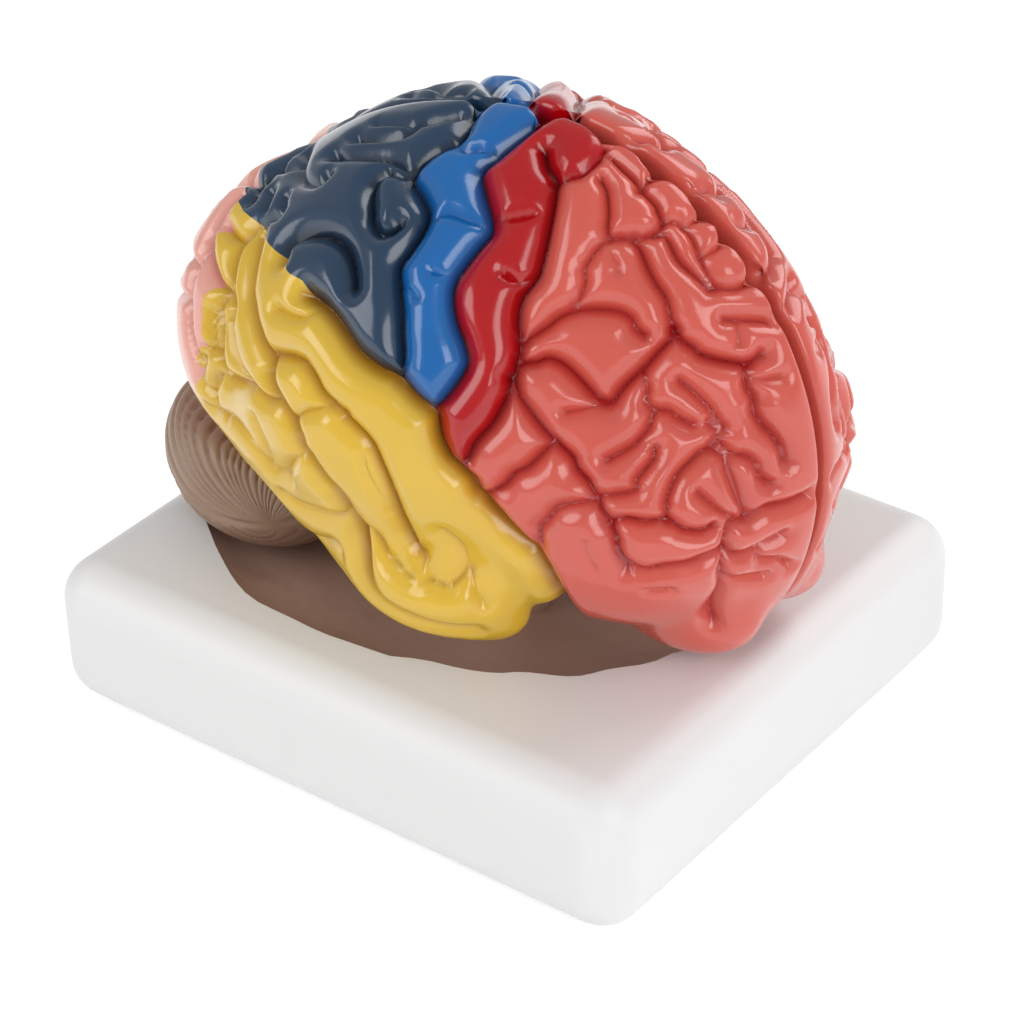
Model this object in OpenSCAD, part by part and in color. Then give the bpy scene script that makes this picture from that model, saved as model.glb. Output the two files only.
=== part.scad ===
// Life-size model of the human brain in two painted halves, with the cerebellum and the
// brain stem, resting in the nest of a square stand. X points to the forehead, the right
// half lies towards -Y, Z is up, and the origin is the middle of the stand's underside.
// Lobe places are measured from the middle of the stand's top face, on the right half.

/* [Stand] */
// Length of the stand from back to front, mm
stand_length = 166; // [150:1:200]
// Width of the stand from side to side, mm
stand_width = 143; // [125:1:180]
// Height of the stand, mm
stand_height = 38; // [28:1:60]
// Radius of the stand's soft edges and corners, mm
stand_edge = 10.5; // [4:0.5:13]
// Depth of the nest under the front of the brain, mm
nest_depth = 15; // [10:1:20]
// Height of the lumps in the nest's floor, mm
nest_lumps = 1.2; // [0:0.1:2]
// Radius of the post that carries the two halves, at its top, mm
post_radius = 7; // [5:0.5:8]
// Place of the post in front of the stand's middle, mm
post_forward = 4; // [3:0.5:8]

/* [Cerebrum] */
// Frontal lobe centre, mm
frontal_centre = [19.5, 3, 49]; // [-60:1:80]
// Frontal lobe half length, half width and half height, mm
frontal_half = [70.5, 45, 71]; // [10:0.5:90]
// Centre of the swelling on the side of the frontal lobe, mm
frontal_side_centre = [38.5, -20, 43]; // [-60:0.5:80]
// Half length, half width and half height of that swelling, mm
frontal_side_half = [43, 26.5, 34]; // [10:0.5:90]
// Parietal lobe centre, mm
parietal_centre = [-2, -3, 59]; // [-60:1:80]
// Parietal lobe half length, half width and half height, mm
parietal_half = [58.5, 60, 54]; // [10:0.5:90]
// Occipital lobe centre, mm
occipital_centre = [-44, -14, 54]; // [-60:1:80]
// Occipital lobe half length, half width and half height, mm
occipital_half = [30, 34, 39]; // [10:0.5:90]
// Temporal lobe centre, mm
temporal_centre = [-9.5, -37, 31]; // [-60:0.5:80]
// Temporal lobe half length, half width and half height, mm
temporal_half = [48.5, 17, 18]; // [10:0.5:90]
// Slope of the temporal lobe down to its front, degrees
temporal_slope = 27; // [15:1:35]
// Temporal pole centre, mm
pole_centre = [12.5, -41, 20.5]; // [-60:0.5:80]
// Temporal pole half length, half width and half height, mm
pole_half = [22, 16.5, 14.5]; // [10:0.5:90]
// Height of the cerebrum's underside over the stand, at the stand's middle, mm
underside_height = 21.5; // [18:0.5:26]
// Fall of the underside for each mm forward
underside_fall = 0.18; // [0.12:0.01:0.25]
// Gap between the two halves, mm
midline_gap = 0.6; // [0.2:0.1:2]
// Depth of the main furrows, mm
furrow_depth = 4.8; // [1:0.1:6]
// Width of the main furrows from crest to crest, mm
furrow_width = 12; // [6:0.5:14]

/* [Cerebellum] */
// Centre of the right side of the cerebellum, mm
cerebellum_centre = [-53, -21, 18]; // [-70:1:40]
// Cerebellum half length, half width of one side and half height, mm
cerebellum_half = [27, 24, 24]; // [10:0.5:40]
// Depth of the grooves between its leaves, mm
leaf_groove = 1; // [0.3:0.1:2]
// Number of leaves around the cerebellum
leaf_count = 28; // [16:2:36]

/* [Brain stem] */
// Radius of the pons, the bulge of the brain stem, mm
pons_radius = 10; // [8:0.5:11]
// Radius of the stem where it ends in the nest, mm
stem_radius = 6; // [4:0.5:8]
// Place of the stem behind the stand's middle, mm
stem_back = 15; // [14:0.5:17]

/* [Hidden] */

// Wander of the left half's furrows against the right half's, degrees
left_wander = 1.5;
// Clearance between faces that rest on each other
rest_clearance = 0.3;
// Room under the cerebellum in the back of the nest
nest_clearance = 2.5;
// Softness of the join between lobes, of the rim of the underside and of the midline edge
lobe_blend = 3;
pole_blend = 2.5;
underside_blend = 4;
midline_blend = 1.6;
// Point inside the right half from which its surface is seen, and how far out to look
middle = [8, -27, 62];
furthest = 125;
search_steps = 15;
// Rows and columns of the surface grid of one half
grid_cells = 48;
// Reach of the pull that lays grid lines into the furrows, mm
pull_reach = 3;
// Share of the depth that each grid point takes from those around it, which keeps folds round
depth_sharing = 0.4;
white = [0.93, 0.93, 0.93];
coral = [0.85, 0.41, 0.36];
taupe = [0.55, 0.46, 0.40];

lobes = [
    [frontal_centre, frontal_half, 0],
    [parietal_centre, parietal_half, 0],
    [occipital_centre, occipital_half, 0],
    [frontal_side_centre, frontal_side_half, 0],
    [temporal_centre, temporal_half, -temporal_slope],
    [pole_centre, pole_half, 0]
];

// Furrows of the right half. Each has a share of the furrow depth and width, and its route
// in degrees forward and degrees upward from the point of the side that faces straight out.
furrows = [
    // lateral fissure, central, precentral and postcentral furrows
    [1.3, 1.1, [[-33, 41], [-25, 41], [-18, 39], [-12, 36], [-5, 32], [4, 29], [14, 27], [22, 21],
        [28, 17], [31, 14], [32, 8], [33, 3], [36, -5], [40, -11], [43, -15], [44, -22], [46, -26],
        [49, -33], [52, -37], [54, -41], [52, -60], [48, -70], [40, -78]]],
    [1, 1, [[30, 16], [36, 25], [40, 36], [37, 44], [31, 52], [26, 60], [24, 67], [26, 78], [27, 83],
        [22, 88], [13, 94], [7, 98], [10, 102], [14, 107], [17, 112], [18, 118]]],
    [1, 1, [[43, -6], [47, 3], [53, 12], [57, 24], [58, 34], [57, 44], [53, 54], [51, 62], [52, 68],
        [49, 76], [46, 82], [42, 89], [38, 94], [32, 98], [27, 102]]],
    [1, 1, [[15, 26], [14, 36], [11, 44], [8, 51], [3, 59], [-1, 65], [0, 72], [0, 79], [-3, 84],
        [-11, 87], [-20, 89], [-21, 94], [-18, 99], [-13, 103], [-17, 108], [-18, 114]]],
    [0.7, 0.8, [[39, 93], [41, 93], [44, 93], [46, 93], [47, 94], [48, 96], [48, 97], [47, 102],
        [43, 107], [42, 114]]],
    [0.5, 0.7, [[25, 87], [29, 86], [34, 86], [39, 86]]],
    [0.5, 0.7, [[41, 70], [45, 68], [48, 67], [51, 68]]],
    [0.5, 0.7, [[3, 83], [7, 85], [15, 85], [22, 84]]],
    [0.4, 0.6, [[14, 67], [19, 67], [23, 69]]],
    [0.4, 0.5, [[3, 60], [8, 59], [12, 57]]],
    [0.5, 0.6, [[8, 102], [2, 102], [-4, 101], [-9, 101]]],
    // parietal lobe
    [1, 1.1, [[-50, 43], [-51, 48], [-47, 54], [-39, 59], [-31, 61], [-24, 60], [-18, 56], [-15, 52]]],
    [0.9, 0.9, [[-32, 85], [-33, 81], [-31, 78], [-26, 75], [-22, 72], [-16, 71], [-12, 73],
        [-10, 76]]],
    [0.7, 0.8, [[-32, 85], [-26, 87], [-20, 89]]],
    [0.8, 0.9, [[-25, 90], [-35, 88], [-44, 84], [-51, 80], [-57, 76], [-64, 72]]],
    [0.8, 0.9, [[-62, 80], [-51, 87], [-40, 94], [-38, 99], [-30, 104], [-24, 107]]],
    [0.5, 0.7, [[-42, 97], [-52, 92], [-60, 87]]],
    [0.8, 0.8, [[-79, 40], [-81, 42], [-85, 44], [-84, 49], [-78, 57]]],
    [0.6, 0.8, [[-84, 58], [-77, 59], [-69, 59], [-62, 62], [-56, 66], [-55, 69]]],
    [0.6, 0.7, [[-70, 41], [-67, 46], [-63, 50], [-65, 51], [-67, 53]]],
    [0.5, 0.6, [[-72, 44], [-74, 46], [-76, 47]]],
    // temporal lobe
    [0.9, 1, [[-40, 16], [-33, 19], [-29, 20], [-25, 20], [-20, 17], [-16, 13], [-10, 10], [-5, 8],
        [-5, 7], [1, 3], [6, -2], [9, -10], [11, -18], [12, -27], [12, -38], [13, -46], [17, -48]]],
    [1, 1.1, [[-67, 39], [-64, 35], [-61, 30], [-58, 25], [-54, 22], [-50, 19], [-45, 16], [-40, 13],
        [-39, 8], [-36, 4], [-30, -1], [-26, -6], [-24, -12], [-20, -17],
        [-16, -23], [-12, -28], [-10, -36], [-8, -43], [-8, -48], [-5, -51], [0, -52], [6, -52],
        [11, -52], [15, -53], [19, -55], [25, -58]]],
    [0.8, 0.9, [[-71, 39], [-72, 32], [-71, 27], [-69, 22], [-67, 18], [-64, 16], [-64, 11], [-61, 7],
        [-58, 4], [-53, 1], [-47, 0], [-40, -1], [-34, 2]]],
    [0.7, 0.8, [[-78, 30], [-77, 30], [-74, 31], [-72, 33]]],
    [0.8, 0.9, [[-79, 23], [-76, 20], [-73, 18], [-71, 17], [-69, 17], [-69, 12], [-67, 6], [-66, 1],
        [-65, -3], [-63, -7], [-60, -7], [-55, -4], [-49, -1]]],
    [0.6, 0.6, [[-70, 9], [-69, 5], [-68, 1], [-67, -2], [-65, -2]]],
    [0.6, 0.6, [[-69, -3], [-67, -2]]],
    [0.6, 0.7, [[-69, -6], [-69, -12], [-68, -16], [-66, -17], [-65, -17]]],
    [0.7, 0.8, [[-65, -9], [-66, -14], [-65, -19], [-63, -23]]],
    [0.6, 0.8, [[-10, 10], [-17, 6], [-23, 2], [-27, -2]]],
    [0.5, 0.6, [[-42, 31], [-36, 32], [-29, 35], [-27, 38]]],
    [0.4, 0.5, [[3, -4], [4, -12], [6, -20], [9, -27], [11, -36], [13, -43], [14, -47]]],
    [0.7, 0.9, [[-6, -43], [-2, -45], [1, -48], [6, -49], [13, -50], [19, -50], [25, -51], [29, -51],
        [33, -51]]],
    [0.5, 0.9, [[27, -40], [31, -46], [32, -50], [33, -52], [33, -53], [34, -56]]],
    [0.6, 0.8, [[-39, -40], [-32, -42], [-23, -42], [-16, -41], [-9, -37]]],
    [0.5, 0.8, [[-35, -30], [-32, -24], [-26, -17], [-20, -13]]],
    [0.5, 0.8, [[4, -58], [16, -58], [24, -62]]],
    // frontal lobe, upper part
    [0.8, 0.8, [[52, 91], [56, 87], [60, 81], [62, 77], [64, 74], [66, 73], [69, 72], [72, 71],
        [74, 71], [74, 74], [72, 77], [70, 80], [66, 84], [61, 89], [56, 93], [51, 97]]],
    [0.7, 0.8, [[65, 73], [64, 73], [63, 71], [63, 69], [63, 67], [65, 63], [66, 59], [66, 56]]],
    [0.9, 0.9, [[70, 71], [73, 67], [76, 62], [79, 57], [82, 52], [84, 47], [86, 41]]],
    [0.8, 0.8, [[74, 71], [76, 70], [78, 67], [81, 62], [84, 58], [87, 54], [89, 51]]],
    [0.7, 0.8, [[74, 74], [77, 73], [79, 71], [82, 67], [85, 61], [87, 57], [90, 51]]],
    [0.7, 0.8, [[64, 85], [65, 87], [66, 88], [68, 90], [65, 92], [66, 98]]],
    [0.6, 0.8, [[79, 71], [81, 72], [84, 74], [82, 76], [84, 82]]],
    [0.6, 0.7, [[85, 61], [88, 62], [90, 66]]],
    [0.35, 0.5, [[67, 69], [70, 65], [71, 63]]],
    [0.7, 0.8, [[90, 51], [94, 49], [98, 51]]],
    [0.7, 0.8, [[93, 41], [97, 39], [101, 37]]],
    [0.5, 0.7, [[95, 40], [96, 33]]],
    // frontal lobe, middle part
    [0.9, 1, [[58, 46], [62, 50], [64, 53], [67, 54], [71, 53], [75, 51], [78, 48], [80, 44],
        [82, 41]]],
    [1, 1, [[59, 37], [63, 37], [66, 38], [70, 35], [74, 29], [77, 23], [78, 21], [80, 20], [81, 23],
        [82, 26], [84, 31], [85, 35], [86, 38], [86, 41]]],
    [0.6, 0.7, [[72, 17], [75, 18], [77, 19], [79, 20]]],
    [0.8, 0.8, [[84, 29], [85, 24], [85, 20], [86, 17], [88, 16], [89, 14], [91, 11]]],
    [0.8, 0.8, [[86, 16], [85, 12], [84, 10], [82, 7], [80, 5], [77, 2]]],
    [1, 0.9, [[86, 41], [88, 37], [90, 34], [91, 32], [94, 29], [98, 26]]],
    [0.8, 0.8, [[89, 25], [91, 21], [93, 16], [94, 12], [95, 8]]],
    [0.8, 0.9, [[93, 11], [94, 8], [93, 4], [94, 1], [94, -4], [94, -9], [94, -14], [94, -19]]],
    [0.8, 0.8, [[94, 5], [95, 1], [97, -1], [98, -4], [98, -8], [99, -11]]],
    [0.9, 0.9, [[100, 28], [98, 25], [98, 20], [99, 16], [99, 12], [100, 7], [101, 4], [102, -1],
        [102, -5]]],
    [0.5, 0.7, [[98, 23], [100, 21], [103, 20]]],
    // frontal lobe, lower part
    [1, 1, [[57, 31], [60, 24], [64, 16], [67, 9], [69, 5], [71, 1], [71, -3], [72, -6], [72, -10],
        [72, -13], [72, -17], [72, -21], [71, -26], [71, -31]]],
    [0.9, 0.9, [[68, 5], [65, 0], [61, -6], [57, -10], [53, -16], [47, -22]]],
    [0.8, 0.8, [[72, -11], [74, -9], [76, -8], [79, -6], [80, -3], [82, 0], [84, 3], [85, 6]]],
    [0.8, 0.8, [[93, 4], [91, 3], [89, 1], [87, -1], [85, -4], [83, -8], [82, -11], [81, -15]]],
    [0.9, 0.8, [[72, -18], [75, -15], [78, -15], [81, -14], [82, -15], [83, -17], [86, -18],
        [88, -17]]],
    [0.7, 0.7, [[88, -7], [89, -10], [90, -13], [92, -17]]],
    [0.8, 0.9, [[71, -12], [67, -15], [64, -18], [61, -23], [58, -28], [56, -34]]],
    [0.8, 0.8, [[72, -29], [74, -30], [77, -28], [81, -27], [83, -26], [86, -25], [88, -25]]],
    [0.8, 0.8, [[104, -19], [100, -19], [97, -18], [94, -19], [91, -18], [90, -19], [88, -25],
        [89, -29], [91, -30], [93, -30], [97, -29]]],
    [0.8, 0.8, [[88, -26], [86, -31], [85, -37], [82, -44], [78, -52]]],
    [0.6, 0.6, [[93, -30], [92, -34], [94, -37], [95, -41]]],
    [0.6, 0.6, [[85, -36], [88, -39], [91, -41]]],
    [0.4, 0.5, [[73, -36], [76, -35]]],
    [0.3, 0.6, [[67, -25], [66, -29], [66, -33]]],
    // occipital lobe, seen from behind
    [0.9, 1, [[-82, 44], [-88, 38], [-92, 30], [-93, 20], [-90, 10]]],
    [0.8, 0.9, [[-100, 32], [-97, 24], [-92, 18]]],
    [0.8, 0.9, [[-104, 12], [-97, 8], [-90, 8], [-84, 10]]],
    [0.8, 0.9, [[-102, -8], [-95, -8], [-88, -6], [-82, -8]]],
    [0.7, 0.9, [[-92, 56], [-88, 50], [-84, 46]]],
    [0.8, 0.9, [[-96, -22], [-88, -22], [-78, -18]]],
    // underside
    [0.7, 1, [[6, -88], [-10, -84], [-26, -80], [-42, -74]]],
    [0.7, 1, [[46, -96], [56, -90], [66, -82]]]
];
// The left half's own central, precentral and postcentral furrows, farther back at the crest
left_furrows = [
    [1, 1, [[30, 16], [36, 25], [40, 36], [37, 44], [31, 52], [25, 60], [18, 67], [8, 74], [-4, 80],
        [-14, 86], [-19, 93], [-14, 100], [-9, 106], [-5, 110], [0, 116]]],
    [1, 1, [[43, -6], [47, 3], [53, 12], [57, 24], [58, 34], [57, 44], [52, 54], [46, 62], [37, 70],
        [25, 77], [12, 82], [1, 88], [5, 97], [12, 102], [20, 107], [26, 112], [28, 118]]],
    [1, 1, [[14, 26], [14, 35], [11, 42], [7, 49], [3, 56], [-3, 62], [-10, 68], [-20, 73], [-32, 77],
        [-41, 82], [-43, 88], [-38, 94], [-30, 102], [-22, 109], [-17, 115]]]
];

// Direction of a place given in degrees forward and upward
function direction(place) =
    let (turn = norm(place), share = turn < 0.01 ? 0 : sin(turn) / turn)
    [place[0] * share, -cos(turn), place[1] * share];

// Rough distance from a point to the surface of a lobe, negative inside
function lobe_distance(point, lobe) =
    let (q = point - lobe[0],
         along = q[0] * cos(lobe[2]) + q[2] * sin(lobe[2]),
         above = q[2] * cos(lobe[2]) - q[0] * sin(lobe[2]),
         share = [along / lobe[1][0], q[1] / lobe[1][1], above / lobe[1][2]],
         slope = [share[0] / lobe[1][0], share[1] / lobe[1][1], share[2] / lobe[1][2]])
    norm(share) * (norm(share) - 1) / max(norm(slope), 0.0001);
function soft_min(values, radius) =
    let (least = min(values))
    least - radius * ln([for (v = values) exp((least - v) / radius)] * [for (v = values) 1]);
function soft_max(values, radius) = -soft_min(-values, radius);
function underside_at(x) = underside_height - underside_fall * x;
function cerebrum_distance(point) =
    let (upper = soft_min([for (i = [0:3]) lobe_distance(point, lobes[i])], lobe_blend),
         cut = soft_max([upper, underside_at(point[0]) - point[2]], underside_blend),
         whole = soft_min([cut, lobe_distance(point, lobes[4]), lobe_distance(point, lobes[5])],
                          pole_blend))
    soft_max([whole, point[1] + midline_gap / 2], midline_blend);
// Distance from the middle to the smooth surface, found by halving
function reach(way, low, high, steps) =
    let (half = (low + high) / 2)
    steps == 0 ? half :
    cerebrum_distance(middle + half * way) > 0 ? reach(way, low, half, steps - 1)
                                               : reach(way, half, high, steps - 1);

function surface_point(way) = middle + reach(way, 0, furthest, search_steps) * way;
// Direction square to the smooth surface, from the slope of the distance
function outward(point) =
    let (here = cerebrum_distance(point), step = 0.3,
         slope = [for (i = [0:2])
             cerebrum_distance(point + step * [for (j = [0:2]) i == j ? 1 : 0]) - here])
    slope / norm(slope);

// Routes laid on the surface, each with its depth, half width, middle and spread
function wander(place, amount) =
    let (high = max(0, min(1, (place[1] - 60) / 35)))
    place + amount * [sin(9 * place[1] + 40) - 9 * high, sin(7 * place[0])];
function wandered(furrow) = [furrow[0], furrow[1], [for (place = furrow[2]) wander(place, left_wander)]];
function laid(furrow) =
    let (route = [for (place = furrow[2]) surface_point(direction(place))],
         mean = [for (p = route) 1] * route / len(route))
    [furrow[0] * furrow_depth, furrow[1] * furrow_width / 2, route, mean,
     max([for (p = route) norm(p - mean)])];
// Nearest point of a stretch of a route, as [distance, point]
function nearest_on(point, a, b) =
    let (span = b - a, share = max(0, min(1, (point - a) * span / (span * span))))
    [norm(point - a - share * span), a + share * span];
function nearest(point, route) =
    let (found = [for (i = [1:len(route) - 1]) nearest_on(point, route[i - 1], route[i])],
         least = min([for (f = found) f[0]]))
    [for (f = found) if (f[0] == least) f][0];
function near_routes(point, routes, room) =
    [for (r = routes) if (norm(point - r[3]) < r[4] + room) r];
// Furrow with a sharp bottom and sides that ease out to level at its half width
function furrow_at(gap, depth, half_width) =
    gap > half_width ? 0 : depth * pow(1 - gap / half_width, 1.5);
// Furrows that meet run together, so that the folds between them stay round
function depth_at(point, routes) =
    let (cubes = [0, for (r = near_routes(point, routes, furrow_width))
            pow(furrow_at(nearest(point, r[2])[0], r[0], r[1]), 3)])
    min(1.3 * furrow_depth, pow([for (c = cubes) 1] * cubes, 1 / 3));
// Direction drawn onto a route that is close to its surface point
function pulled(point, routes) =
    let (found = [for (r = near_routes(point, routes, pull_reach)) nearest(point, r[2])],
         least = min([2 * pull_reach, for (f = found) f[0]]),
         target = [for (f = found) if (f[0] == least) f[1]],
         share = min(1, least / pull_reach),
         moved = share >= 1 ? point : point + pow(1 - share * share, 2) * (target[0] - point))
    (moved - middle) / norm(moved - middle);

// Angle from straight out at which the surface has turned over onto the midline face
function rim_angle(turn) =
    let (tall = turn > 0 ? 56 : 43)
    93 + atan(-middle[1] * norm([cos(turn) / 83, sin(turn) / tall]));
// Direction of a grid point, with the grid stretched towards the two poles and the crest, which
// are farther from the middle than the side is, so that its cells stay about as large
function grid_way(column, row) =
    let (a = 2 * column / grid_cells - 1, b = 2 * row / grid_cells - 1,
         x = a * sqrt(1 - b * b / 2), y = b * sqrt(1 - a * a / 2),
         out = norm([x, y]), turn = atan2(y, x), rim = rim_angle(turn),
         stretch = norm([1.4 * cos(turn), 1.2 * sin(turn)]),
         share = out * atan2(sin(rim), stretch * cos(rim)),
         angle = atan2(stretch * sin(share), cos(share)))
    direction(angle * [cos(turn), sin(turn)]);

// One half of the cerebrum: a grid over the outer side, closed by the flat midline face
module hemisphere(drawn) {
    routes = [for (f = drawn) laid(f)];
    side = grid_cells + 1;
    bare = [for (row = [0:grid_cells], column = [0:grid_cells])
        let (point = surface_point(pulled(surface_point(grid_way(column, row)), routes)))
        [point, depth_at(point, routes)]];
    found = [for (row = [0:grid_cells], column = [0:grid_cells])
        let (i = row * side + column, point = bare[i][0], own = bare[i][1],
             rim = min(row, column, grid_cells - row, grid_cells - column) == 0,
             around = rim ? own
                 : (bare[i - 1][1] + bare[i + 1][1] + bare[i - side][1] + bare[i + side][1]) / 4,
             depth = own + depth_sharing * (around - own))
        [point - depth * outward(point), depth]];
    edge = [for (i = [0:grid_cells - 1]) i,
            for (i = [0:grid_cells - 1]) i * side + grid_cells,
            for (i = [0:grid_cells - 1]) side * side - 1 - i,
            for (i = [0:grid_cells - 1]) (grid_cells - i) * side];
    hub = [middle[0], -midline_gap / 2, middle[2]];
    points = [for (f = found) [f[0][0], min(f[0][1], hub[1]), f[0][2]], hub];
    faces = [
        for (row = [0:grid_cells - 1], column = [0:grid_cells - 1])
            let (a = row * side + column, b = a + 1, c = b + side, d = a + side,
                 along = found[a][1] + found[c][1] > found[b][1] + found[d][1])
            each along ? [[a, c, b], [a, d, c]] : [[a, d, b], [b, d, c]],
        for (i = [0:len(edge) - 1]) [edge[i], edge[(i + 1) % len(edge)], side * side]];
    translate([0, 0, stand_height]) polyhedron(points, faces, convexity = 8);
}
module right_hemisphere() {
    color(coral) hemisphere(furrows);
}
module left_hemisphere() {
    // its own three furrows take the place of the right half's second to fifth
    drawn = concat([wandered(furrows[0])], left_furrows,
                   [for (i = [5:len(furrows) - 1]) wandered(furrows[i])]);
    color(coral) mirror([0, 1, 0]) hemisphere(drawn);
}

// Cerebellum: two sides and the worm between them, with leaves that fan out from the front
leaf_middle = [-38, 0, 11];
worm_half = [22, 11, 22];
worm_centre = [-49, 0, 16];
leaf_blend = 2;
leaf_rows = 2 * leaf_count;
leaf_columns = 18;
function cerebellum_distance(point) =
    let (side = [point[0], -abs(point[1]), point[2]],
         body = soft_min([lobe_distance(side, [cerebellum_centre, cerebellum_half, 0]),
                          lobe_distance(point, [worm_centre, worm_half, 0])], leaf_blend),
         top = point[2] - underside_at(point[0]) + tentorium_gap,
         beside = tentorium_gap - lobe_distance(side, [temporal_centre, temporal_half, -temporal_slope]))
    soft_max([body, top, beside], leaf_blend);
// Gap between the cerebellum and the cerebrum above it
tentorium_gap = 1;
function leaf_reach(way, low, high, steps) =
    let (half = (low + high) / 2)
    steps == 0 ? half :
    cerebellum_distance(leaf_middle + half * way) > 0 ? leaf_reach(way, low, half, steps - 1)
                                                      : leaf_reach(way, half, high, steps - 1);
function leaf_point(row, column) =
    let (turn = 360 * row / leaf_rows, across = 180 * column / leaf_columns,
         way = [-cos(turn) * sin(across), cos(across), sin(turn) * sin(across)],
         groove = row % 2 == 0 ? 0 : leaf_groove * min(1, 2 * sin(across)))
    leaf_middle + (leaf_reach(way, 0, 60, search_steps) - groove) * way;
module cerebellum() {
    inner = [for (column = [1:leaf_columns - 1], row = [0:leaf_rows - 1]) leaf_point(row, column)];
    near_end = len(inner);
    last = (leaf_columns - 2) * leaf_rows;
    faces = [
        for (column = [0:leaf_columns - 3], row = [0:leaf_rows - 1])
            let (a = column * leaf_rows + row, b = column * leaf_rows + (row + 1) % leaf_rows)
            each [[a, b, b + leaf_rows], [a, b + leaf_rows, a + leaf_rows]],
        for (row = [0:leaf_rows - 1])
            each [[near_end, (row + 1) % leaf_rows, row],
                  [near_end + 1, last + row, last + (row + 1) % leaf_rows]]];
    color(taupe) translate([0, 0, stand_height])
        polyhedron(concat(inner, [leaf_point(0, 0), leaf_point(0, leaf_columns)]), faces, convexity = 6);
}

// Brain stem: one turned form, standing in the nest between the post and the cerebellum
module brain_stem() {
    top = underside_at(-stem_back) - tentorium_gap;
    foot = -nest_floor_depth(-stem_back) + rest_clearance;
    waist = stem_radius + 1.5;
    color(taupe) translate([-stem_back, 0, stand_height])
        rotate_extrude($fn = 96)
            polygon(concat([[0, foot], [stem_radius, foot], [waist, foot + 6]],
                [for (turn = [-60:15:60]) [waist - 3 + (pons_radius - waist + 3) * cos(turn),
                                           (foot + top) / 2 + 4 + 9 * sin(turn)]],
                [[waist, top], [0, top]]));
}

// Stand: a slab with round edges, a sunken nest and a post under the two halves
nest_outline = [[66, 0], [62.5, 9], [58.5, 16], [57, 21], [51, 28], [46, 35], [36, 40], [31, 44], [24, 47],
    [14, 49.5], [8, 52.5], [-1, 53.5], [-11, 54.5], [-22, 54], [-32, 53.5], [-40.5, 50.5], [-52, 43.5],
    [-59, 38.5], [-67, 32], [-72, 24], [-74, 12]];
nest_rows = 7;
nest_steps = 2;
// Depth of the nest's floor: full under the front, and just under the cerebellum at the back
function nest_floor_depth(x) =
    let (back = cerebellum_half[2] - cerebellum_centre[2] + nest_clearance,
         share = max(0, min(1, (x + 42) / 40)))
    back + (nest_depth - back) * share * share * (3 - 2 * share);
function nest_loop() =
    concat(nest_outline,
           [for (i = [len(nest_outline) - 1:-1:1]) [nest_outline[i][0], -nest_outline[i][1]]]);
function curve_through(loop, i, t) =
    let (n = len(loop), a = loop[(i + n - 1) % n], b = loop[i],
         c = loop[(i + 1) % n], d = loop[(i + 2) % n])
    0.5 * (2 * b + (c - a) * t + (2 * a - 5 * b + 4 * c - d) * t * t + (3 * b - a - 3 * c + d) * pow(t, 3));
module nest_cut() {
    loop = nest_loop();
    rim = [for (i = [0:len(loop) - 1], s = [0:nest_steps - 1]) curve_through(loop, i, s / nest_steps)];
    n = len(rim);
    hub = [-5, 0];
    function wall(share) = pow(1 - pow(share, 8), 0.6);
    function lump(p, share) =
        nest_lumps * (1 - share) * (sin(7 * p[0] + 50) * cos(6 * p[1]) - 1) / 2 * (p[0] > -30 ? 1 : 0);
    function floor_point(p, share) =
        let (q = hub + (p - hub) * share)
        [q[0], q[1], stand_height - nest_floor_depth(q[0]) * wall(share) + lump(q, share)];
    rows = [for (k = [0:nest_rows - 1], p = rim) floor_point(p, 1 - k / nest_rows)];
    lid = [for (p = rim) [p[0], p[1], stand_height + 2]];
    points = concat(lid, rows, [floor_point(hub, 0), [hub[0], hub[1], stand_height + 2]]);
    floor_hub = n * (nest_rows + 1);
    faces = [
        for (k = [0:nest_rows - 1], i = [0:n - 1])
            let (j = (i + 1) % n, a = k * n + i, b = k * n + j)
            each [[a, b, b + n], [a, b + n, a + n]],
        for (i = [0:n - 1])
            let (j = (i + 1) % n)
            each [[nest_rows * n + i, nest_rows * n + j, floor_hub], [j, i, floor_hub + 1]]];
    polyhedron(points, faces, convexity = 4);
}
module edge_profile() {
    intersection() {
        square([stand_edge, stand_height]);
        union() {
            translate([0, stand_edge]) circle(r = stand_edge, $fn = 96);
            translate([0, stand_height - stand_edge]) circle(r = stand_edge, $fn = 96);
            translate([0, stand_edge]) square([stand_edge, stand_height - 2 * stand_edge]);
        }
    }
}
module slab() {
    x = stand_length / 2 - stand_edge;
    y = stand_width / 2 - stand_edge;
    corners = [[x, y], [-x, y], [-x, -y], [x, -y]];
    translate([-x, -y, 0]) cube([2 * x, 2 * y, stand_height]);
    for (i = [0:3])
        translate([corners[i][0], corners[i][1], 0]) rotate([0, 0, 90 * i]) {
            rotate_extrude(angle = 90, $fn = 96) edge_profile();
            rotate([90, 0, 0]) linear_extrude(height = i % 2 == 0 ? 2 * y : 2 * x) edge_profile();
        }
}
module post() {
    top = underside_at(post_forward) - rest_clearance;
    difference() {
        translate([post_forward, 0, stand_height - nest_depth - 2])
            cylinder(r1 = post_radius * 1.1, r2 = post_radius, h = nest_depth + top + 8, $fn = 96);
        translate([post_forward, 0, stand_height + top]) rotate([0, atan(underside_fall), 0])
            translate([-40, -40, 0]) cube([80, 80, 30]);
    }
}
module stand() {
    color(white) {
        difference() {
            slab();
            nest_cut();
        }
        post();
    }
}

stand();
right_hemisphere();
left_hemisphere();
cerebellum();
brain_stem();
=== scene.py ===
"""Brain anatomy model: painted lobes, cerebellum and nested stand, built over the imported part."""
import bpy
import numpy as np
from mathutils import Matrix, Vector


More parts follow.
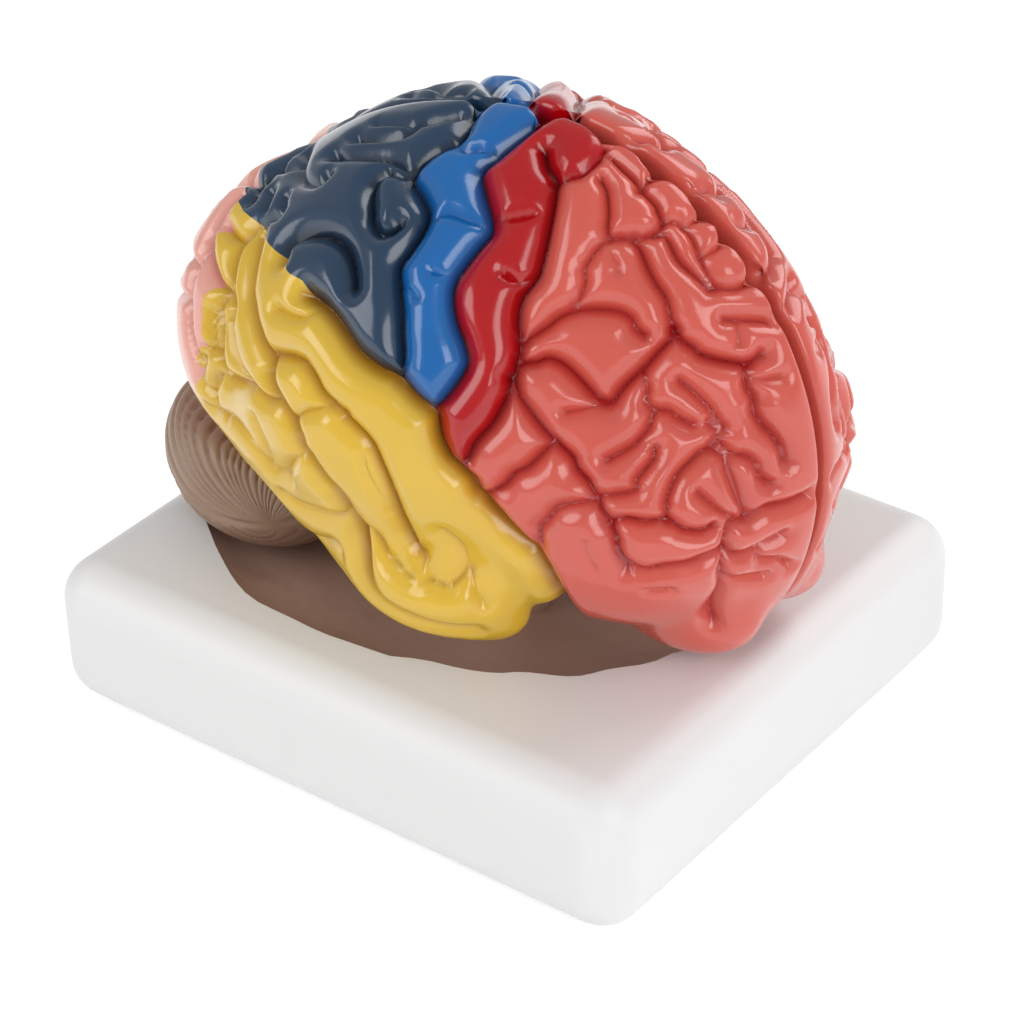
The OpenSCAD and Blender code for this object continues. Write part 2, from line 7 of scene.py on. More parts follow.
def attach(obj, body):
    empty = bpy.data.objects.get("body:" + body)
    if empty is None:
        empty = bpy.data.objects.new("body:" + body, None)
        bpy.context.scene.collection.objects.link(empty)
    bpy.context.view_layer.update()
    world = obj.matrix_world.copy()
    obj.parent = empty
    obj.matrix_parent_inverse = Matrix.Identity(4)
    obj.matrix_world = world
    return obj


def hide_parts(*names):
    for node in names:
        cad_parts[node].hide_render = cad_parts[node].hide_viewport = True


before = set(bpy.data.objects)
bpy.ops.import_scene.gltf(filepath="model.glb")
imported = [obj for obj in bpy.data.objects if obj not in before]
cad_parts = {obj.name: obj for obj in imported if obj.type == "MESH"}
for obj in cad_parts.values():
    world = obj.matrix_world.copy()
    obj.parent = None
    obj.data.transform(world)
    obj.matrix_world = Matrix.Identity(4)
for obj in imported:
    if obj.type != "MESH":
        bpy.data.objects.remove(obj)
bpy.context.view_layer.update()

MM = 0.001
STAND = (166.0, 143.0, 38.0)  # length, width and height of the stand, mm
STAND_EDGE = 10.5

# The brain's form. Heights are above the stand's top, y is below 0 on the right half, mm.
MIDDLE = np.array([8.0, -27.0, 62.0])
FRONTAL = ((19.5, 3, 49), (70.5, 45, 71), 0)
PARIETAL = ((-2, -3, 59), (58.5, 60, 54), 0)
OCCIPITAL = ((-44, -14, 54), (30, 34, 39), 0)
FRONTAL_SIDE = ((38.5, -20, 43), (43, 26.5, 34), 0)
TEMPORAL = ((-9.5, -37, 31), (48.5, 17, 18), -27)
TEMPORAL_POLE = ((12.5, -41, 20.5), (22, 16.5, 14.5), 0)
FRONTAL_UNDERSIDE = ((60, -13, 14.5), (20, 11, 12), 0)
CEREBELLUM = ((-53, -21, 18), (27, 24, 24), 0)
WORM = ((-49, 0, 16), (22, 11, 22), 0)
LEAF_MIDDLE = np.array([-38.0, 0.0, 11.0])
FURROW_DEPTH, FURROW_WIDTH = 4.2, 12.0
INSET = 0.7  # keeps the painted skin inside the solid's box, mm

# Each furrow: share of the depth, share of the width, and its route as degrees forward and upward
# from straight out of the side.
FURROWS = [
    # lateral fissure, central, precentral and postcentral furrows
    [1.3, 1.1, [[-33, 41], [-25, 41], [-18, 39], [-12, 36], [-5, 32], [4, 29], [14, 27], [22, 21],
        [28, 17], [31, 14], [32, 8], [33, 3], [36, -5], [40, -11], [43, -15], [44, -22], [46, -26],
        [49, -33], [52, -37], [54, -41], [52, -60], [48, -70], [40, -78]]],
    [1, 1, [[30, 16], [36, 25], [40, 36], [37, 44], [31, 52], [26, 60], [24, 67], [26, 78], [27, 83],
        [22, 88], [13, 94], [7, 98], [10, 102], [14, 107], [17, 112], [18, 118]]],
    [1, 1, [[43, -6], [47, 3], [53, 12], [57, 24], [58, 34], [57, 44], [53, 54], [51, 62], [52, 68],
        [49, 76], [46, 82], [42, 89], [38, 94], [32, 98], [27, 102]]],
    [1, 1, [[15, 26], [14, 36], [11, 44], [8, 51], [3, 59], [-1, 65], [0, 72], [0, 79], [-3, 84],
        [-11, 87], [-20, 89], [-21, 94], [-18, 99], [-13, 103], [-17, 108], [-18, 114]]],
    [0.7, 0.8, [[39, 93], [41, 93], [44, 93], [46, 93], [47, 94], [48, 96], [48, 97], [47, 102],
        [43, 107], [42, 114]]],
    [0.5, 0.7, [[25, 87], [29, 86], [34, 86], [39, 86]]],
    [0.5, 0.7, [[41, 70], [45, 68], [48, 67], [51, 68]]],
    [0.5, 0.7, [[3, 83], [7, 85], [15, 85], [22, 84]]],
    [0.4, 0.6, [[14, 67], [19, 67], [23, 69]]],
    [0.4, 0.5, [[3, 60], [8, 59], [12, 57]]],
    [0.5, 0.6, [[8, 102], [2, 102], [-4, 101], [-9, 101]]],
    # parietal lobe
    [1, 1.1, [[-50, 43], [-51, 48], [-47, 54], [-39, 59], [-31, 61], [-24, 60], [-18, 56], [-15, 52]]],
    [0.9, 0.9, [[-32, 85], [-33, 81], [-31, 78], [-26, 75], [-22, 72], [-16, 71], [-12, 73],
        [-10, 76]]],
    [0.7, 0.8, [[-32, 85], [-26, 87], [-20, 89]]],
    [0.8, 0.9, [[-25, 90], [-35, 88], [-44, 84], [-51, 80], [-57, 76], [-64, 72]]],
    [0.8, 0.9, [[-62, 80], [-51, 87], [-40, 94], [-38, 99], [-30, 104], [-24, 107]]],
    [0.5, 0.7, [[-42, 97], [-52, 92], [-60, 87]]],
    [0.8, 0.8, [[-79, 40], [-81, 42], [-85, 44], [-84, 49], [-78, 57]]],
    [0.6, 0.8, [[-84, 58], [-77, 59], [-69, 59], [-62, 62], [-56, 66], [-55, 69]]],
    [0.6, 0.7, [[-70, 41], [-67, 46], [-63, 50], [-65, 51], [-67, 53]]],
    [0.5, 0.6, [[-72, 44], [-74, 46], [-76, 47]]],
    # temporal lobe
    [0.9, 1, [[-40, 16], [-33, 19], [-29, 20], [-25, 20], [-20, 17], [-16, 13], [-10, 10], [-5, 8],
        [-5, 7], [1, 3], [6, -2], [9, -10], [11, -18], [12, -27], [12, -38], [13, -46], [17, -48]]],
    [1, 1.1, [[-67, 39], [-64, 35], [-61, 30], [-58, 25], [-54, 22], [-50, 19], [-45, 16], [-40, 13],
        [-39, 8], [-36, 4], [-30, -1], [-26, -6], [-24, -12], [-20, -17],
        [-16, -23], [-12, -28], [-10, -36], [-8, -43], [-8, -49], [-5, -54], [0, -57], [6, -58],
        [12, -59], [19, -61], [25, -63]]],
    [0.8, 0.9, [[-71, 39], [-72, 32], [-71, 27], [-69, 22], [-67, 18], [-64, 16], [-64, 11], [-61, 7],
        [-58, 4], [-53, 1], [-47, 0], [-40, -1], [-34, 2]]],
    [0.7, 0.8, [[-78, 30], [-77, 30], [-74, 31], [-72, 33]]],
    [0.8, 0.9, [[-79, 23], [-76, 20], [-73, 18], [-71, 17], [-69, 17], [-69, 12], [-67, 6], [-66, 1],
        [-65, -3], [-63, -7], [-60, -7], [-55, -4], [-49, -1]]],
    [0.6, 0.6, [[-70, 9], [-69, 5], [-68, 1], [-67, -2], [-65, -2]]],
    [0.6, 0.6, [[-69, -3], [-67, -2]]],
    [0.6, 0.7, [[-69, -6], [-69, -12], [-68, -16], [-66, -17], [-65, -17]]],
    [0.7, 0.8, [[-65, -9], [-66, -14], [-65, -19], [-63, -23]]],
    [0.6, 0.8, [[-10, 10], [-17, 6], [-23, 2], [-27, -2]]],
    [0.5, 0.6, [[-42, 31], [-36, 32], [-29, 35], [-27, 38]]],
    [0.4, 0.5, [[3, -6], [4, -13], [6, -20], [8, -27], [9, -33]]],
    [0.7, 0.9, [[-6, -43], [-2, -45], [1, -48], [6, -49], [13, -50], [19, -50], [25, -51], [29, -51],
        [33, -51]]],
    [0.5, 0.9, [[27, -40], [31, -46], [32, -50], [33, -52], [33, -53], [34, -56]]],
    [0.6, 0.8, [[-39, -40], [-32, -42], [-23, -42], [-16, -41], [-9, -37]]],
    [0.5, 0.8, [[-35, -30], [-32, -24], [-26, -17], [-20, -13]]],
    [0.7, 0.9, [[-67, -24], [-58, -22], [-50, -25], [-43, -31], [-35, -30]]],
    [0.7, 0.9, [[-62, -44], [-54, -41], [-46, -45], [-39, -53], [-30, -55], [-20, -52]]],
    [0.5, 0.8, [[-46, -12], [-42, -20], [-43, -31]]],
    # frontal lobe, upper part
    [0.8, 0.8, [[52, 91], [56, 87], [60, 81], [62, 77], [64, 74], [66, 73], [69, 72], [72, 71],
        [74, 71], [74, 74], [72, 77], [70, 80], [66, 84], [61, 89], [56, 93], [51, 97]]],
    [0.7, 0.8, [[65, 73], [64, 73], [63, 71], [63, 69], [63, 67], [65, 63], [66, 59], [66, 56]]],
    [0.9, 0.9, [[70, 71], [73, 67], [76, 62], [79, 57], [82, 52], [84, 47], [86, 41]]],
    [0.8, 0.8, [[74, 71], [76, 70], [78, 67], [81, 62], [84, 58], [87, 54], [89, 51]]],
    [0.7, 0.8, [[74, 74], [77, 73], [79, 71], [82, 67], [85, 61], [87, 57], [90, 51]]],
    [0.7, 0.8, [[64, 85], [65, 87], [66, 88], [68, 90], [65, 92], [66, 98]]],
    [0.6, 0.8, [[79, 71], [81, 72], [84, 74], [82, 76], [84, 82]]],
    [0.6, 0.7, [[85, 61], [88, 62], [90, 66]]],
    [0.35, 0.5, [[67, 69], [70, 65], [71, 63]]],
    [0.7, 0.8, [[90, 51], [94, 49], [98, 51]]],
    [0.7, 0.8, [[93, 41], [97, 39], [101, 37]]],
    [0.5, 0.7, [[95, 40], [96, 33]]],
    # frontal lobe, middle part
    [0.9, 1, [[58, 46], [62, 50], [64, 53], [67, 54], [71, 53], [75, 51], [78, 48], [80, 44],
        [82, 41]]],
    [1, 1, [[59, 37], [63, 37], [66, 38], [70, 35], [74, 29], [77, 23], [78, 21], [80, 20], [81, 23],
        [82, 26], [84, 31], [85, 35], [86, 38], [86, 41]]],
    [0.6, 0.7, [[72, 17], [75, 18], [77, 19], [79, 20]]],
    [0.8, 0.8, [[84, 29], [85, 24], [85, 20], [86, 17], [88, 16], [89, 14], [91, 11]]],
    [0.8, 0.8, [[86, 16], [85, 12], [84, 10], [82, 7], [80, 5], [77, 2]]],
    [1, 0.9, [[86, 41], [88, 37], [90, 34], [91, 32], [94, 29], [98, 26]]],
    [0.8, 0.8, [[89, 25], [91, 21], [93, 16], [94, 12], [95, 8]]],
    [0.8, 0.9, [[93, 11], [94, 8], [93, 4], [94, 1], [94, -4], [94, -9], [94, -14], [94, -19]]],
    [0.8, 0.8, [[94, 5], [95, 1], [97, -1], [98, -4], [98, -8], [99, -11]]],
    [0.9, 0.9, [[100, 28], [98, 25], [98, 20], [99, 16], [99, 12], [100, 7], [101, 4], [102, -1],
        [102, -5]]],
    [0.5, 0.7, [[98, 23], [100, 21], [103, 20]]],
    # frontal lobe, lower part
    [1, 1, [[57, 31], [60, 24], [64, 16], [67, 9], [69, 5], [71, 1], [71, -3], [72, -6], [72, -10],
        [72, -13], [72, -17], [72, -21], [71, -26], [71, -31]]],
    [0.9, 0.9, [[68, 5], [65, 0], [61, -6], [57, -10], [53, -16], [47, -22]]],
    [0.8, 0.8, [[72, -11], [74, -9], [76, -8], [79, -6], [80, -3], [82, 0], [84, 3], [85, 6]]],
    [0.8, 0.8, [[93, 4], [91, 3], [89, 1], [87, -1], [85, -4], [83, -8], [82, -11], [81, -15]]],
    [0.9, 0.8, [[72, -18], [75, -15], [78, -15], [81, -14], [82, -15], [83, -17], [86, -18],
        [88, -17]]],
    [0.7, 0.7, [[88, -7], [89, -10], [90, -13], [92, -17]]],
    [0.8, 0.9, [[71, -12], [67, -15], [64, -18], [61, -23], [58, -28], [56, -34]]],
    [0.8, 0.8, [[72, -29], [74, -30], [77, -28], [81, -27], [83, -26], [86, -25], [88, -25]]],
    [0.8, 0.8, [[104, -19], [100, -19], [97, -18], [94, -19], [91, -18], [90, -19], [88, -25],
        [89, -29], [91, -30], [93, -30], [97, -29]]],
    [0.8, 0.8, [[88, -26], [86, -31], [85, -37], [82, -44], [78, -52]]],
    [0.6, 0.6, [[93, -30], [92, -34], [94, -37], [95, -41]]],
    [0.6, 0.6, [[85, -36], [88, -39], [91, -41]]],
    [0.4, 0.5, [[73, -36], [76, -35]]],
    [0.3, 0.6, [[67, -25], [66, -29], [66, -33]]],
    # occipital lobe
    [0.7, 0.7, [[-83, 37], [-81, 29], [-79, 22], [-78, 16], [-77, 10], [-75, 4], [-73, -2], [-70, -8]]],
    [0.5, 0.6, [[-90, 14], [-84, 13], [-78, 15]]],
    [0.5, 0.6, [[-88, 1], [-82, 2], [-76, 6]]],
    [0.7, 0.8, [[-94, 44], [-90, 34], [-88, 24], [-88, 14], [-86, 4], [-84, -6], [-80, -16]]],
    [0.9, 1, [[-82, 44], [-88, 38], [-92, 30], [-93, 20], [-90, 10]]],
    [0.8, 0.9, [[-100, 32], [-97, 24], [-92, 18]]],
    [0.8, 0.9, [[-104, 12], [-97, 8], [-90, 8], [-84, 10]]],
    [0.8, 0.9, [[-102, -8], [-95, -8], [-88, -6], [-82, -8]]],
    [0.7, 0.9, [[-92, 56], [-88, 50], [-84, 46]]],
    [0.8, 0.9, [[-96, -22], [-88, -22], [-78, -18]]],
    # underside
    [0.7, 1, [[6, -88], [-10, -84], [-26, -80], [-42, -74]]],
    [0.7, 1, [[46, -96], [56, -90], [66, -82]]]
]

# The left half's own central, precentral and postcentral furrows, farther back at the crest.
LEFT_FURROWS = [
    [1, 1, [[14, 27], [8, 32], [-4, 38], [-16, 45], [-26, 52], [-33, 59], [-36, 67], [-35, 76], [-28, 85],
        [-20, 93], [-14, 100], [-9, 106], [-5, 110], [0, 116]]],
    [1, 1, [[31, 14], [34, 22], [28, 30], [18, 37], [6, 43], [-5, 50], [-14, 57], [-20, 64], [-20, 72],
        [-14, 80], [-7, 87], [-2, 92], [5, 98], [12, 102], [20, 107], [26, 112], [28, 118]]],
    [1, 1, [[-2, 31], [-12, 38], [-26, 44], [-38, 50], [-48, 57], [-55, 65], [-57, 73], [-51, 82],
        [-44, 88], [-38, 94], [-30, 102], [-22, 109], [-17, 115]]],
    # folds of the frontal lobe between there and where the right half's begin
    [0.9, 0.9, [[46, 2], [50, 12], [52, 22], [48, 32], [38, 40], [26, 47], [13, 54], [2, 61], [-4, 68], [-2, 76]]],
    [0.8, 0.8, [[64, 46], [56, 52], [47, 55], [40, 61], [30, 65], [22, 71], [14, 76], [12, 84], [20, 90]]],
    [0.6, 0.7, [[26, 47], [30, 55], [40, 61]]],
    [0.6, 0.7, [[62, 30], [57, 36], [52, 44], [47, 55]]],
    [0.6, 0.8, [[22, 71], [28, 79], [36, 84], [40, 92]]],
    [0.5, 0.7, [[13, 54], [17, 60], [16, 66]]],
    [0.7, 0.8, [[52, 70], [44, 72], [38, 76], [28, 79]]]
]

# Painted edges, in the same degrees: behind the temporal lobe, and on from there to the crest.
TEMPORAL_BACK = [[-74, -30], [-71, -20], [-69, -12], [-70, -10], [-71, -8], [-71, -5], [-69, -2], [-70, 1],
    [-71, 6], [-72, 10], [-72, 14], [-71, 18], [-74, 20], [-76, 22], [-78, 26], [-77, 31], [-79, 32], [-81, 36]]
TEMPORAL_TOP = [[-77, 37], [-71, 40], [-63, 42], [-54, 43], [-48, 44], [-42, 43], [-36, 44]]
OCCIPITAL_TOP = [[-81, 36], [-88, 40], [-96, 46], [-104, 52], [-150, 80]]


def lobe_distance(points, lobe):
    """Rough distance to an ellipsoid, below 0 inside it."""
    centre, half, slope = lobe
    turn = np.radians(slope)
    q = points - centre
    q = np.stack([q[..., 0] * np.cos(turn) + q[..., 2] * np.sin(turn), q[..., 1],
                  q[..., 2] * np.cos(turn) - q[..., 0] * np.sin(turn)], -1)
    near = np.linalg.norm(q / half, axis=-1) + 1e-9
    steep = np.linalg.norm(q / np.square(half), axis=-1) + 1e-9
    return near * (near - 1) / steep


def soft_min(values, blend):
    values = np.stack(values)
    least = values.min(0)
    return least - blend * np.log(np.exp((least - values) / blend).sum(0))


def soft_max(values, blend):
    return -soft_min([-v for v in values], blend)


def underside(x):
    return 21.5 - 0.18 * x


def cerebrum_distance(p):
    top = soft_min([lobe_distance(p, lobe) for lobe in (FRONTAL, PARIETAL, OCCIPITAL, FRONTAL_SIDE)], 3.0)
    top = soft_max([top, underside(p[..., 0]) - p[..., 2]], 4.0)
    low = [lobe_distance(p, lobe) for lobe in (TEMPORAL, TEMPORAL_POLE, FRONTAL_UNDERSIDE)]
    whole = soft_min([top] + low, 2.5)
    return soft_max([whole, p[..., 1] + 0.3], 1.6)


def cerebellum_distance(p):
    side = p * (1, 0, 1) - np.abs(p) * (0, 1, 0)
    body = soft_min([lobe_distance(side, CEREBELLUM), lobe_distance(p, WORM)], 2.0)
    return soft_max([body, p[..., 2] - underside(p[..., 0]) + 1, 1 - lobe_distance(side, TEMPORAL)], 2.0)


def surface_points(ways, middle, distance, furthest=125.0):
    """Where each direction from the middle leaves the form."""
    low, high = np.zeros(ways.shape[:-1]), np.full(ways.shape[:-1], furthest)
    for _ in range(20):
        half = (low + high) / 2
        outside = distance(middle + half[..., None] * ways) > 0
        low, high = np.where(outside, low, half), np.where(outside, half, high)
    return middle + low[..., None] * ways


def outward(points, distance, step=0.3):
    """Directions square to the smooth form."""
    here = distance(points)
    slope = np.stack([distance(points + step * axis) - here for axis in np.eye(3)], -1)
    return slope / np.linalg.norm(slope, axis=-1, keepdims=True)


def direction(places):
    places = np.asarray(places, float)
    out = np.hypot(places[..., 0], places[..., 1]) + 1e-9
    turn = np.radians(out)
    return np.stack([np.sin(turn) * places[..., 0] / out, -np.cos(turn), np.sin(turn) * places[..., 1] / out], -1)


def place(points):
    way = points - MIDDLE
    way = way / np.linalg.norm(way, axis=-1, keepdims=True)
    out = np.degrees(np.arccos(np.clip(-way[..., 1], -1, 1)))
    flat = np.hypot(way[..., 0], way[..., 2]) + 1e-9
    return np.stack([out * way[..., 0] / flat, out * way[..., 2] / flat], -1)


def wander(places, amount=1.5):
    """The left half's furrows run a little differently from the right half's."""
    places = np.asarray(places, float)
    high = np.clip((places[..., 1] - 60) / 35, 0, 1)
    return places + amount * np.stack([np.sin(np.radians(9 * places[..., 1] + 40)) - 9 * high,
                                       np.sin(np.radians(7 * places[..., 0]))], -1)


def flowing(points, steps=4):
    """A smooth curve through the points."""
    points = np.asarray(points, float)
    ends = np.vstack([2 * points[0] - points[1], points, 2 * points[-1] - points[-2]])
    a, b, c, d = (ends[i:len(ends) - 3 + i, None] for i in range(4))
    t = (np.arange(steps) / steps)[None, :, None]
    curve = 0.5 * (2 * b + (c - a) * t + (2 * a - 5 * b + 4 * c - d) * t ** 2 + (3 * b - a - 3 * c + d) * t ** 3)
    return np.vstack([curve.reshape(-1, points.shape[1]), points[-1:]])


def nearest(points, route):
    """Distance from each point to the route, and the route's nearest point."""
    a, span = route[:-1], np.diff(route, axis=0)
    share = np.clip(((points[:, None] - a) * span).sum(-1) / ((span ** 2).sum(-1) + 1e-12), 0, 1)
    foot = a + share[..., None] * span
    gap = np.linalg.norm(points[:, None] - foot, axis=-1)
    least = gap.argmin(1)
    rows = np.arange(len(points))
    return gap[rows, least], foot[rows, least]


def side_furrows(side):
    if side == "right":
        return FURROWS
    rest = [(depth, width, wander(route)) for depth, width, route in FURROWS]
    return rest[:1] + LEFT_FURROWS + rest[5:]


def laid(furrows):
    """The routes on the surface, each with its depth and half width, mm."""
    found = []
    for depth, width, route in furrows:
        line = surface_points(direction(flowing(route)), MIDDLE, cerebrum_distance)
        found.append((depth * FURROW_DEPTH, width * FURROW_WIDTH / 2, line))
    return found


def near_route(points, line, room):
    mean = line.mean(0)
    return np.flatnonzero(np.linalg.norm(points - mean, axis=1)
                          < np.linalg.norm(line - mean, axis=1).max() + room)


def pulled(points, routes, room):
    """Points close to a route are drawn onto it, so that its crease is clean."""
    least, target = np.full(len(points), 2 * room), points.copy()
    for _, _, line in routes:
        rows = near_route(points, line, room)
        gap, foot = nearest(points[rows], line)
        closer = gap < least[rows]
        least[rows[closer]], target[rows[closer]] = gap[closer], foot[closer]
    share = np.clip(least / room, 0, 1)[:, None]
    return points + (1 - share ** 2) ** 2 * (target - points)


def furrow_depths(points, routes):
    """Furrows with sharp bottoms, easing out to level at the half width; where they meet they run together."""
    depths = np.zeros(len(points))
    for depth, half_width, line in routes:
        rows = near_route(points, line, half_width)
        gap, _ = nearest(points[rows], line)
        share = np.clip(gap / half_width, 0, 1)
        depths[rows] += (depth * (1 - share) ** 2.2) ** 3
    return np.minimum(np.cbrt(depths), 1.3 * FURROW_DEPTH)


def rim_angle(turn):
    tall = np.where(np.sin(turn) > 0, 56, 43)
    return 93 + np.degrees(np.arctan(27 * np.hypot(np.cos(turn) / 83, np.sin(turn) / tall)))


def grid_directions(cells):
    line = np.linspace(-1, 1, cells + 1)
    b, a = np.meshgrid(line, line, indexing="ij")
    x, y = a * np.sqrt(1 - b ** 2 / 2), b * np.sqrt(1 - a ** 2 / 2)
    out, turn = np.hypot(x, y), np.arctan2(y, x)
    angle = rim_angle(turn) * (1.2 * out - 0.2 * out ** 3)
    return direction(np.stack([angle * np.cos(turn), angle * np.sin(turn)], -1)).reshape(-1, 3)


def grid_faces(rows, columns, depths):
    """Two triangles to a cell, split along the crease where one runs across it."""
    at = np.arange(rows * columns).reshape(rows, columns)
    a, b, c, d = at[:-1, :-1], at[:-1, 1:], at[1:, 1:], at[1:, :-1]
    along = depths[a] + depths[c] > depths[b] + depths[d]
    one = np.where(along[..., None], np.stack([a, b, c], -1), np.stack([a, b, d], -1))
    two = np.where(along[..., None], np.stack([a, c, d], -1), np.stack([b, c, d], -1))
    return np.vstack([one.reshape(-1, 3), two.reshape(-1, 3)])


def smooth_normals(points, faces):
    a, b, c = points[faces[:, 0]], points[faces[:, 1]], points[faces[:, 2]]
    flat = np.cross(b - a, c - a)
    total = np.zeros_like(points)
    for corner in range(3):
        np.add.at(total, faces[:, corner], flat)
    return total / (np.linalg.norm(total, axis=1, keepdims=True) + 1e-12)


def inside_depth(places, outline):
    """Distance from each place to a closed outline, above 0 inside it."""
    loop = np.vstack([outline, outline[:1]])
    gap = np.concatenate([nearest(part, loop)[0] for part in np.array_split(places, 12)])
    inside = np.zeros(len(places), bool)
    for (x0, y0), (x1, y1) in zip(loop[:-1], loop[1:]):
        if y0 != y1:
            crosses = (places[:, 1] > y0) != (places[:, 1] > y1)
            inside ^= crosses & (places[:, 0] < x0 + (places[:, 1] - y0) * (x1 - x0) / (y1 - y0))
    return np.where(inside, gap, -gap)


def parted(table, faces, column):
    """Cuts the faces where a column of the vertex table changes sign."""
    over = table[faces][:, :, column] >= 0
    count = over.sum(1)
    rows = np.flatnonzero((count == 1) | (count == 2))
    lone = np.argmax(over[rows] == (count[rows] == 1)[:, None], axis=1)
    a, b, c = (faces[rows, (lone + k) % 3] for k in range(3))
    edges = np.sort(np.concatenate([np.stack([a, b], 1), np.stack([a, c], 1)]), axis=1)
    edges, where = np.unique(edges, axis=0, return_inverse=True)
    where = where.reshape(-1)
    low, high = table[edges[:, 0]], table[edges[:, 1]]
    share = low[:, column] / (low[:, column] - high[:, column])
    added = low + share[:, None] * (high - low)
    p, q = len(table) + where[:len(a)], len(table) + where[len(a):]
    kept = faces[(count == 0) | (count == 3)]
    lone_side = np.stack([a, p, q], 1)
    other = np.vstack([np.stack([p, b, c], 1), np.stack([p, c, q], 1)])
    sign = np.concatenate([over[(count == 0) | (count == 3), 0], count[rows] == 1, np.tile(count[rows] == 2, 2)])
    return np.vstack([table, added]), np.vstack([kept, lone_side, other]), sign


def zone_outlines(furrows, side):
    """Closed outlines of the two rear lobes, and of what lies ahead of each furrow between lobes."""
    fissure, central, precentral, postcentral = (flowing(furrow[2]) for furrow in furrows[:4])
    crest = [[30, 130]]
    if side == "right":
        # the paint turns forward off the precentral furrow before the crest
        precentral, crest = precentral[:-8], flowing(furrows[4][2])
    ahead = [[230, 260], [230, -260]]
    back, top, rear = flowing(TEMPORAL_BACK), flowing(TEMPORAL_TOP), flowing(OCCIPITAL_TOP)
    temporal = np.vstack([fissure, [[34, -95], [28, -170], [-60, -170], [-56, -90], [-64, -50]], back, top])
    occipital = np.vstack([[[-64, -50], [-56, -90], [-60, -170], [-260, -170], [-260, 170]], rear[::-1], back[::-1]])
    frontal = np.vstack([[[34, -95], [43, -40], [43, -16]], precentral, crest, [[46, 160]], ahead])
    red = np.vstack([[[30, -95], [29, 10]], central, [[22, 160]], ahead])
    blue = np.vstack([[[10, -95], [13, 20]], postcentral, [[-22, 160]], ahead])
    return temporal, occipital, frontal, red, blue


LOBES = ("temporal_lobe", "occipital_lobe", "frontal_lobe", "precentral_gyrus", "postcentral_gyrus", "parietal_lobe")


def hemisphere(side, cells=300):
    """Right or left half of the cerebrum, as one shell per painted lobe."""
    furrows = side_furrows(side)
    routes = laid(furrows)
    start = surface_points(grid_directions(cells), MIDDLE, cerebrum_distance)
    start = pulled(start, routes, 1.3)
    ways = (start - MIDDLE) / np.linalg.norm(start - MIDDLE, axis=1, keepdims=True)
    smooth = surface_points(ways, MIDDLE, cerebrum_distance)
    depths = furrow_depths(smooth, routes)
    points = smooth - (depths + INSET)[:, None] * outward(smooth, cerebrum_distance)
    points[:, 1] = np.minimum(points[:, 1], -0.3)
    n = cells + 1
    faces = grid_faces(n, n, depths)
    normals = smooth_normals(points, faces)
    if (normals * (points - MIDDLE)).sum() < 0:
        faces, normals = faces[:, ::-1], -normals
    places = place(smooth)
    fields = [inside_depth(places, outline) for outline in zone_outlines(furrows, side)]
    table = np.column_stack([points, normals, depths / FURROW_DEPTH] + fields)
    zones = np.full(len(faces), -1)
    for k in range(5):
        open_rows = zones < 0
        table, cut, over = parted(table, faces[open_rows], 7 + k)
        faces = np.vstack([faces[~open_rows], cut])
        zones = np.concatenate([zones[~open_rows], np.where(over, k, -1)])
    zones[zones < 0] = 5
    if side == "left":
        table[:, [1, 4]] *= -1
        faces = faces[:, ::-1]
    pieces = []
    for k, lobe in enumerate(LOBES):
        rows, local = np.unique(faces[zones == k], return_inverse=True)
        pieces.append(shell(side + "_" + lobe, table[rows, :3], local.reshape(-1, 3),
                            table[rows, 3:6], table[rows, 6]))
    return pieces


def shell(name, points, faces, normals=None, shade=None):
    """A mesh object; points are mm above the stand's top."""
    mesh = bpy.data.meshes.new(name)
    mesh.from_pydata(((points + (0, 0, STAND[2])) * MM).tolist(), [], faces.tolist())
    mesh.polygons.foreach_set("use_smooth", [True] * len(mesh.polygons))
    if shade is not None:
        # the furrow share, which the lobe paints turn into painted shade in the furrows
        mesh.attributes.new("furrow", "FLOAT", "POINT").data.foreach_set("value", shade.astype(np.float32))
    if normals is not None:
        mesh.normals_split_custom_set_from_vertices(normals.tolist())
    obj = bpy.data.objects.new(name, mesh)
    bpy.context.scene.collection.objects.link(obj)
    return obj


def cerebellum(rows=420, columns=230):
    """Two leafy halves joined by the worm. Leaves sweep up from the sides; finer ones curl below them."""
    turn, across = np.meshgrid(np.arange(rows) * 2 * np.pi / rows, np.linspace(0.001, np.pi - 0.001, columns))
    ways = np.stack([-np.cos(turn) * np.sin(across), np.cos(across), np.sin(turn) * np.sin(across)], -1)
    smooth = surface_points(ways.reshape(-1, 3), LEAF_MIDDLE, cerebellum_distance, 60.0)
    away, far = np.minimum(across, np.pi - across), np.sin(across)
    swept = (turn + 0.15 - 0.45 * far ** 2) % (2 * np.pi)
    upper = swept < 3.0
    sweeping = 8.5 * swept + 0.45 * np.sin(5 * away + 4 * swept) + 0.25 * np.sin(11 * swept)
    curling = 12 * away + 1.1 * (2 * np.pi - swept) + 0.4 * np.sin(3 * swept)
    gap = np.abs((np.where(upper, sweeping, curling) % 1) - 0.5) * 2
    band = np.where(upper, 1.4, 1.0) * (1 - np.sqrt(np.clip(1 - gap ** 3, 0, 1)))
    edge = np.minimum(np.minimum(swept, 2 * np.pi - swept), np.abs(swept - 3.0)) * far
    deep = 1.5 * np.exp(-(edge / 0.03) ** 2)
    depth = (np.maximum(band, deep) * np.clip(3 * far, 0, 1)).reshape(-1)
    points = smooth - (depth + 0.1)[:, None] * outward(smooth, cerebellum_distance)
    at = np.arange(rows * columns).reshape(columns, rows)
    at = np.column_stack([at, at[:, 0]])
    faces = np.stack([at[:-1, :-1], at[:-1, 1:], at[1:, 1:], at[1:, :-1]], -1).reshape(-1, 4)
    return shell("cerebellum_leaves", points, faces, None, depth / 1.3)


